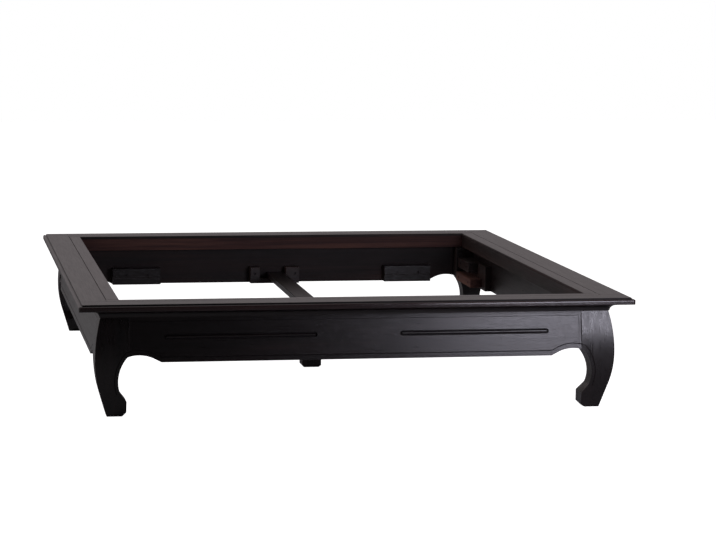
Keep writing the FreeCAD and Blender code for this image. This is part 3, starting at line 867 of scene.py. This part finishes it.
def bead(start, stop):
    """A half-round bead with domed ends, leaning with the face."""
    bpy.ops.object.select_all(action="DESELECT")
    place = at("foot", (start + stop) / 2, slot_floor, slot_level)
    ball = {"segments": 24, "ring_count": 16, "radius": BEAD_HALF * MM}
    bpy.ops.mesh.primitive_uv_sphere_add(location=place, **ball)
    piece = bpy.context.object
    give_finishes(piece)
    bpy.ops.object.transform_apply(location=True, rotation=True, scale=True)
    bpy.ops.object.mode_set(mode="EDIT")
    stretch = (stop - start) / 2 - BEAD_GAP - BEAD_HALF
    for way in (-1, 1):
        bpy.ops.mesh.select_all(action="DESELECT")
        mesh = bmesh.from_edit_mesh(piece.data)
        for vert in mesh.verts:
            vert.select_set((vert.co.x - place.x) * way > MM * 0.1)
        mesh.select_flush_mode()
        bmesh.update_edit_mesh(piece.data)
        bpy.ops.transform.translate(value=(way * stretch * MM, 0, 0))
    bpy.ops.mesh.select_all(action="SELECT")
    bpy.ops.mesh.bisect(plane_co=place, plane_no=-FACE_OUT, use_fill=True, clear_outer=True)
    bpy.ops.object.mode_set(mode="OBJECT")
    return piece


pair = [bead(*ends) for ends in slots]
make_active(pair[0])
pair[1].select_set(True)
bpy.ops.object.join()
beads = bpy.context.object
beads.name = "foot_apron_beads_piece"
settle_pair(beads, "foot", dark_wood, "apron_beads")
print("beads in slots", round(slots[0][1] - slots[0][0]), "mm long")

# %% [markdown]
# ## Legs
# A leg is sawn twice from a square block, once from each side, with the same curved outline: it
# swells under the rail, draws in at the shin, and turns its toe inwards. Blender can saw in the
# same way. The outline is pushed through from the front and from the side, and only what both
# have in common stays. The corner behind is cut out at the top for the battens. The line of the
# aprons goes on round the hollow of the leg.

# %% Leg outline
SHIN = (SHOULDER[0] - 4.5, 88.0)
HEEL = (SHOULDER[0] + 22.0, 0.0)
HOCK = (SHOULDER[0] + 58.2, 125.0)
INSTEP = (SHOULDER[0] + 64.8, 83.0)
TOE = SHOULDER[0] + 87.5
TOE_TOP = 52.0
TOE_CUT = 14.0
LAP = (LEG_EDGE - 7.0, APRON_UNDER + ARCH_END - 2.0)
HOLLOW_LINE = [
    (LAP[0] - 5.0, LAP[1] + LINE_RISE - 1.0),
    (HOCK[0] - 12.0, HOCK[1]),
    (INSTEP[0] - 11.0, INSTEP[1] - 7.0),
]


def arc_across(apex, end, height):
    """Where an arc lies at a height, when it leaves its apex upright and ends elsewhere."""
    run, rise = end[0] - apex[0], end[1] - apex[1]
    radius = (run**2 + rise**2) / (2 * run)
    return apex[0] + radius - math.sqrt(radius**2 - (height - apex[1]) ** 2)


def arc_from(apex, end, steps):
    """Points from the apex of such an arc to its end, without the apex."""
    heights = [apex[1] + (end[1] - apex[1]) * k / steps for k in range(1, steps + 1)]
    return [(arc_across(apex, end, z), z) for z in heights]


shin_to_belly = list(reversed(arc_from(BELLY, SHIN, 10)))
leg_outline = [HEEL] + shin_to_belly + [BELLY] + arc_from(BELLY, SHOULDER, 14)
leg_outline += [(SHOULDER[0], BOARD_UNDER), (LEG_EDGE, BOARD_UNDER)]
leg_outline += [(LEG_EDGE, APRON_UNDER + ARCH_END), LAP] + arc_through(LAP, HOCK, INSTEP, 18)
leg_outline += [(TOE, TOE_TOP), (TOE, TOE_CUT), (TOE - TOE_CUT, 0.0)]
print("leg outline of", len(leg_outline), "points")

# %% Shape one leg
BLOCK_SIZE = 132.0


def leg_point(across, depth, height, from_side=False):
    """A point of the left leg at the foot end, from its outline."""
    x, y = (depth, across) if from_side else (across, depth)
    return Vector((x * MM - HALF_WIDTH, y * MM - HALF_LENGTH, height * MM))


def swell_depth(height):
    """How far in the leg's outer faces lie at any height."""
    if height >= BELLY[1]:
        return arc_across(BELLY, SHOULDER, height)
    if height >= SHIN[1]:
        return arc_across(BELLY, SHIN, height)
    return SHIN[0] + (HEEL[0] - SHIN[0]) * (1 - height / SHIN[1])


def sawn_block(name, from_side):
    """The leg's outline pushed through its square block, from the front or from the side."""
    outline = [leg_point(u, SAW_START, z, from_side) for u, z in leg_outline]
    through = (BLOCK_SIZE * MM, 0, 0) if from_side else (0, BLOCK_SIZE * MM, 0)
    return draw_bar(name, outline, Vector(through))


leg = sawn_block("foot_left_leg_piece", False)
carve(leg, sawn_block("across", True), "INTERSECT")
notch_low = leg_point(APRON_IN, APRON_IN, BATTEN_UNDER)
notch_high = leg_point(LEG_EDGE + CLEAR, LEG_EDGE + CLEAR, BOARD_UNDER + CLEAR)
carve(leg, cube("notch", notch_low, notch_high))
ease(leg, 1.6)
line = [(LEG_EDGE + 3.0, line_end), HOLLOW_LINE[0]] + arc_through(*HOLLOW_LINE, 16)
for from_side in (False, True):
    points = [leg_point(u, swell_depth(z), z, from_side) for u, z in line]
    carve(leg, round_tube("line", points, LEG_LINE), finish=CUT)
print("one leg:", len(leg.data.polygons), "faces")

# %% Dull the leg's inner faces
SEAM_REACH = 2.0
SQUARE_ON = 0.95

for face in leg.data.polygons:
    deepest = max(face.center.x + HALF_WIDTH, face.center.y + HALF_LENGTH) / MM
    at_seam = face.material_index == WEAR_AND_NOSE_LIGHT and deepest > LEG_EDGE - SEAM_REACH
    faces_in = max(face.normal.x, face.normal.y) > SQUARE_ON
    if face.center.z > APRON_UNDER * MM and (at_seam or faces_in):
        face.material_index = INSIDE
dulled = sum(face.material_index == INSIDE for face in leg.data.polygons)
print(dulled, "faces of the leg look inwards or lie at a seam")

# %% Copy the leg to the other corners
FLIPS = {
    "foot_left": (1, 1, 1),
    "foot_right": (-1, 1, 1),
    "head_left": (1, -1, 1),
    "head_right": (-1, -1, 1),
}


def at_every_corner(piece, node, axis, woods):
    """Mirrors a piece of the left corner at the foot end to the others, and settles all four."""
    others = [(corner, flip) for corner, flip in FLIPS.items() if min(flip) < 0]
    copies = [mirrored(piece, f"{corner}_{node}_piece", flip) for corner, flip in others]
    for corner, copy in zip(FLIPS, [piece] + copies):
        settle(copy, axis, woods, [f"{corner}_{node}"])


at_every_corner(leg, "leg", "Z", dark_wood)
print("legs at", list(FLIPS))

# %% [markdown]
# ## Fittings inside the frame
# Plain blocks screwed to the aprons carry the slats: a cleat near each end of the end aprons,
# stepped along its lower front edge, a bracket with an open notch for the centre beam, and three
# pieces beside each leg. A joiner saws such blocks from offcuts and drills a wide shallow hole
# for each screw head, so the script does the same: a section, a length, eased edges, and a short
# drill at each screw of the frame.

# %% Cleats
SCREW_LEVEL = APRON_UNDER + 40.0
FITTING_FRONT = STRIP_EDGE
CLEAT_TOP = APRON_UNDER + 67.0
CLEAT_STEP = (FITTING_FRONT - 6, APRON_UNDER + 30)
CLEAT_SCREW_IN = 55

cleat_start, cleat_stop = (corner.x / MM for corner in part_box("foot_left_end_cleat"))
cleat_section = [(APRON_IN, APRON_UNDER), (CLEAT_STEP[0], APRON_UNDER), CLEAT_STEP]
cleat_section += [(FITTING_FRONT, CLEAT_STEP[1]), (FITTING_FRONT, CLEAT_TOP)]
cleat_section += [(APRON_IN, CLEAT_TOP)]
cleat = side_bar("foot_left_end_cleat_piece", "foot", cleat_section, cleat_start, cleat_stop)
ease(cleat, 1.3)
for x in (cleat_start + CLEAT_SCREW_IN, cleat_stop - CLEAT_SCREW_IN):
    drill(cleat, at("foot", x, FITTING_FRONT, SCREW_LEVEL), "Y")
at_every_corner(cleat, "end_cleat", "X", dark_wood)
print("a cleat is", round(cleat_stop - cleat_start), "mm long")

# %% Brackets
NOTCH_LOW = CLEAT_TOP - 47.0
NOTCH_FREE_LEFT = 33.0
NOTCH_FREE_RIGHT = 5.0
BRACKET_SCREW_IN = 18

beam_low, beam_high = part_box("centre_beam")
left, right = (corner.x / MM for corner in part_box("foot_beam_bracket"))
notch_left, notch_right = beam_low.x / MM - NOTCH_FREE_LEFT, beam_high.x / MM + NOTCH_FREE_RIGHT
outline = [(left, APRON_UNDER), (right, APRON_UNDER), (right, CLEAT_TOP), (notch_right, CLEAT_TOP)]
outline += [(notch_right, NOTCH_LOW), (notch_left, NOTCH_LOW)]
outline += [(notch_left, CLEAT_TOP), (left, CLEAT_TOP)]
points = [at("foot", x, APRON_IN, z) for x, z in outline]
thickness = Vector((0, (FITTING_FRONT - APRON_IN) * MM, 0))
bracket = draw_bar("foot_beam_bracket_piece", points, thickness)
ease(bracket, 1.3)
for x in (left + BRACKET_SCREW_IN, right - BRACKET_SCREW_IN):
    drill(bracket, at("foot", x, FITTING_FRONT, SCREW_LEVEL), "Y")
settle_pair(bracket, "foot", brown_wood, "beam_bracket")
print("notch floor", round(NOTCH_LOW, 1), "mm above the floor")

# %% Centre beam and its leg
LEG_SCREWS = [(-4, -60), (-4, -20)]
FOOT_BEVEL = 8

beam = cube("centre_beam_piece", beam_low, beam_high)
ease(beam, 1.6)
for x, y in LEG_SCREWS:
    drill(beam, Vector((x * MM, y * MM, beam_high.z)), "Z")
settle(beam, "Y", dark_wood, ["centre_beam"], "centre_support")

post_low, post_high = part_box("centre_leg")
post = cube("centre_leg_piece", post_low, post_high)
bevel_edges(post, lambda a, b: max(a.z, b.z) < post_low.z + MM, FOOT_BEVEL, 1)
ease(post, 1.2)
settle(post, "Z", dark_wood, ["centre_leg"], "centre_support")
print("beam", [round(v / MM) for v in beam_high - beam_low], "mm")

# %% Corner board, ledge and upper block
CORNER_SCREW = 45.0

for node, woods, slot, width in (
    ("corner_board", brown_wood, DARK_SLOT, 1.2),
    ("corner_ledge", raw_wood, RAW_SLOT, 1.8),
    ("corner_block", brown_wood, DARK_SLOT, 1.8),
):
    low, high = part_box(f"foot_left_{node}")
    block = cube(f"foot_left_{node}_piece", low, high)
    ease(block, width)
    if node != "corner_board":
        for y in (low.y + CORNER_SCREW * MM, high.y - CORNER_SCREW * MM):
            drill(block, Vector((high.x, y, (low.z + high.z) / 2)), "X")
    at_every_corner(block, node, "Y", woods)
print("corner pieces at", list(FLIPS))

# %% [markdown]
# ## Camera
# The view is that of a person standing in front of the foot end, a little to the left, with a
# long lens. The lens and the place come from a fit to the rail's edges, whose focal length is a
# number of picture points for a picture 716 points wide.

# %% Camera
PHOTO_WIDTH = 716
FOCAL_PIXELS = 2572.0
SENSOR_WIDTH = 36.0
CAMERA_PLACE = Vector((-1.479, -9.533, 1.503))
CAMERA_YAW = math.radians(9.889)
CAMERA_PITCH = math.radians(6.748)
CAMERA_ROLL = math.radians(0.502)
FARTHEST_SEEN = 60

camera_data = bpy.data.cameras.new("view")
camera_data.sensor_width = SENSOR_WIDTH
camera_data.lens = FOCAL_PIXELS / PHOTO_WIDTH * SENSOR_WIDTH
camera_data.clip_end = FARTHEST_SEEN
camera = bpy.data.objects.new("view", camera_data)
bpy.context.scene.collection.objects.link(camera)
turn = Matrix.Rotation(-CAMERA_YAW, 4, "Z")
tilt = Matrix.Rotation(math.pi / 2 - CAMERA_PITCH, 4, "X")
lean = Matrix.Rotation(CAMERA_ROLL, 4, "Z")
camera.matrix_world = Matrix.Translation(CAMERA_PLACE) @ turn @ tilt @ lean
bpy.context.scene.camera = camera
bpy.context.scene.view_settings.view_transform = "Standard"
print("lens", round(camera_data.lens, 1), "mm")

# %% [markdown]
# ## Floor, room and light
# The floor and the backdrop look white to the camera. What the lacquer mirrors is another matter:
# in front of the bed the studio is dark, and behind it a wall is lit, which gives the even sheen
# on the flat tops that are seen at a slant. A dim ceiling does the same for views from above. A
# soft lamp low at the front right gives the sheen that grows along the front apron, and a larger
# one at the left gives the side its own.

# %% Floor
FLOOR_SIZE = 30.0
FLOOR_GLOW = 1.0


def floor_finish():
    """A matt floor: plain white to the camera, and a quiet grey in what the bed mirrors."""
    material, tree, shader, place = start_material("studio_floor")
    settings = {"Scale": 1.5, "Detail": 2.0}
    mottle = add_node(tree, "ShaderNodeTexNoise", settings, {"Vector": place})
    ramp = add_node(tree, "ShaderNodeValToRGB", links={"Fac": mottle.outputs["Fac"]})
    set_ramp(ramp, [(0.3, "e8e8e8"), (0.7, "eeeeee")])
    tree.links.new(ramp.outputs["Color"], shader.inputs["Base Color"])
    shader.inputs["Roughness"].default_value = 0.9
    shader.inputs["Specular IOR Level"].default_value = 0.0
    settings = {"Color": (1, 1, 1, 1), "Strength": FLOOR_GLOW}
    glow = add_node(tree, "ShaderNodeEmission", settings)
    links = {0: shader.outputs[0], 1: glow.outputs[0]}
    lifted = add_node(tree, "ShaderNodeAddShader", links=links)
    quiet = add_node(tree, "ShaderNodeBsdfDiffuse", {"Color": linear("c8c8ca")})
    to_camera = add_node(tree, "ShaderNodeLightPath").outputs["Is Camera Ray"]
    links = {0: to_camera, 1: quiet.outputs[0], 2: lifted.outputs[0]}
    mixed = add_node(tree, "ShaderNodeMixShader", links=links)
    tree.links.new(mixed.outputs[0], tree.nodes["Material Output"].inputs["Surface"])
    return material


bpy.ops.object.select_all(action="DESELECT")
bpy.ops.mesh.primitive_plane_add(size=FLOOR_SIZE, location=(0, 0, 0))
floor = bpy.context.object
floor.name = "floor"
floor.data.materials.append(floor_finish())
print("floor", FLOOR_SIZE, "m wide")

# %% Room
BACK_LEVEL = 0.38
FRONT_LEVEL = 0.016
CEILING_LEVEL = 0.35
WALL_TINT = (1.0, 0.9, 0.92, 1.0)
WHITE = (1.0, 1.0, 1.0, 1.0)

world = bpy.data.worlds.new("studio")
bpy.context.scene.world = world
world.use_nodes = True
tree = world.node_tree
backdrop = tree.nodes["Background"]
to_camera = add_node(tree, "ShaderNodeLightPath").outputs["Is Camera Ray"]
colours = {"data_type": "RGBA", 6: WALL_TINT, 7: WHITE}
tint = add_node(tree, "ShaderNodeMix", colours, {0: to_camera})
tree.links.new(tint.outputs[2], backdrop.inputs["Color"])

direction = add_node(tree, "ShaderNodeTexCoord").outputs["Generated"]
parts = add_node(tree, "ShaderNodeSeparateXYZ", links={0: direction})
smooth = {"interpolation_type": "SMOOTHSTEP"}
limits = {"From Min": 0.4, "From Max": 0.9, "To Min": FRONT_LEVEL, "To Max": BACK_LEVEL}
wall = add_node(tree, MAP_RANGE, {**smooth, **limits}, {"Value": parts.outputs["Y"]})
limits = {"From Min": 0.8, "From Max": 0.95, "To Min": 0.0, "To Max": CEILING_LEVEL}
ceiling = add_node(tree, MAP_RANGE, {**smooth, **limits}, {"Value": parts.outputs["Z"]})
both = {0: wall.outputs[0], 1: ceiling.outputs[0]}
room = add_node(tree, MATH, {"operation": "ADD"}, both)
strength = add_node(tree, "ShaderNodeMix", {3: 1.0}, {0: to_camera, 2: room.outputs[0]})
tree.links.new(strength.outputs[0], backdrop.inputs["Strength"])
print("the room goes from", FRONT_LEVEL, "in front to", BACK_LEVEL, "behind the bed")

# %% Lamps
def soft_lamp(name, place, target, size, power, tint=(1, 1, 1), spread=180):
    """A square soft lamp at a place, turned towards a target."""
    data = bpy.data.lights.new(name, "AREA")
    data.shape = "SQUARE"
    data.size = size
    data.energy = power
    data.color = tint
    data.spread = math.radians(spread)
    lamp = bpy.data.objects.new(name, data)
    bpy.context.scene.collection.objects.link(lamp)
    lamp.location = place
    lamp.rotation_mode = "QUATERNION"
    lamp.rotation_quaternion = (Vector(target) - Vector(place)).to_track_quat("-Z", "Y")
    return lamp


COOL = (0.88, 0.86, 1.0)
soft_lamp("front_right_lamp", (1.14, -2.6, 0.82), (0.75, -1.1, 0.5), 0.85, 10.5, COOL, 110)
soft_lamp("left_lamp", (-6.0, 0.5, 2.4), (-0.8, 0.0, 0.3), 2.2, 140)
soft_lamp("top_lamp", (0.5, 1.5, 5.5), (0.0, 0.0, 0.3), 3.5, 8)
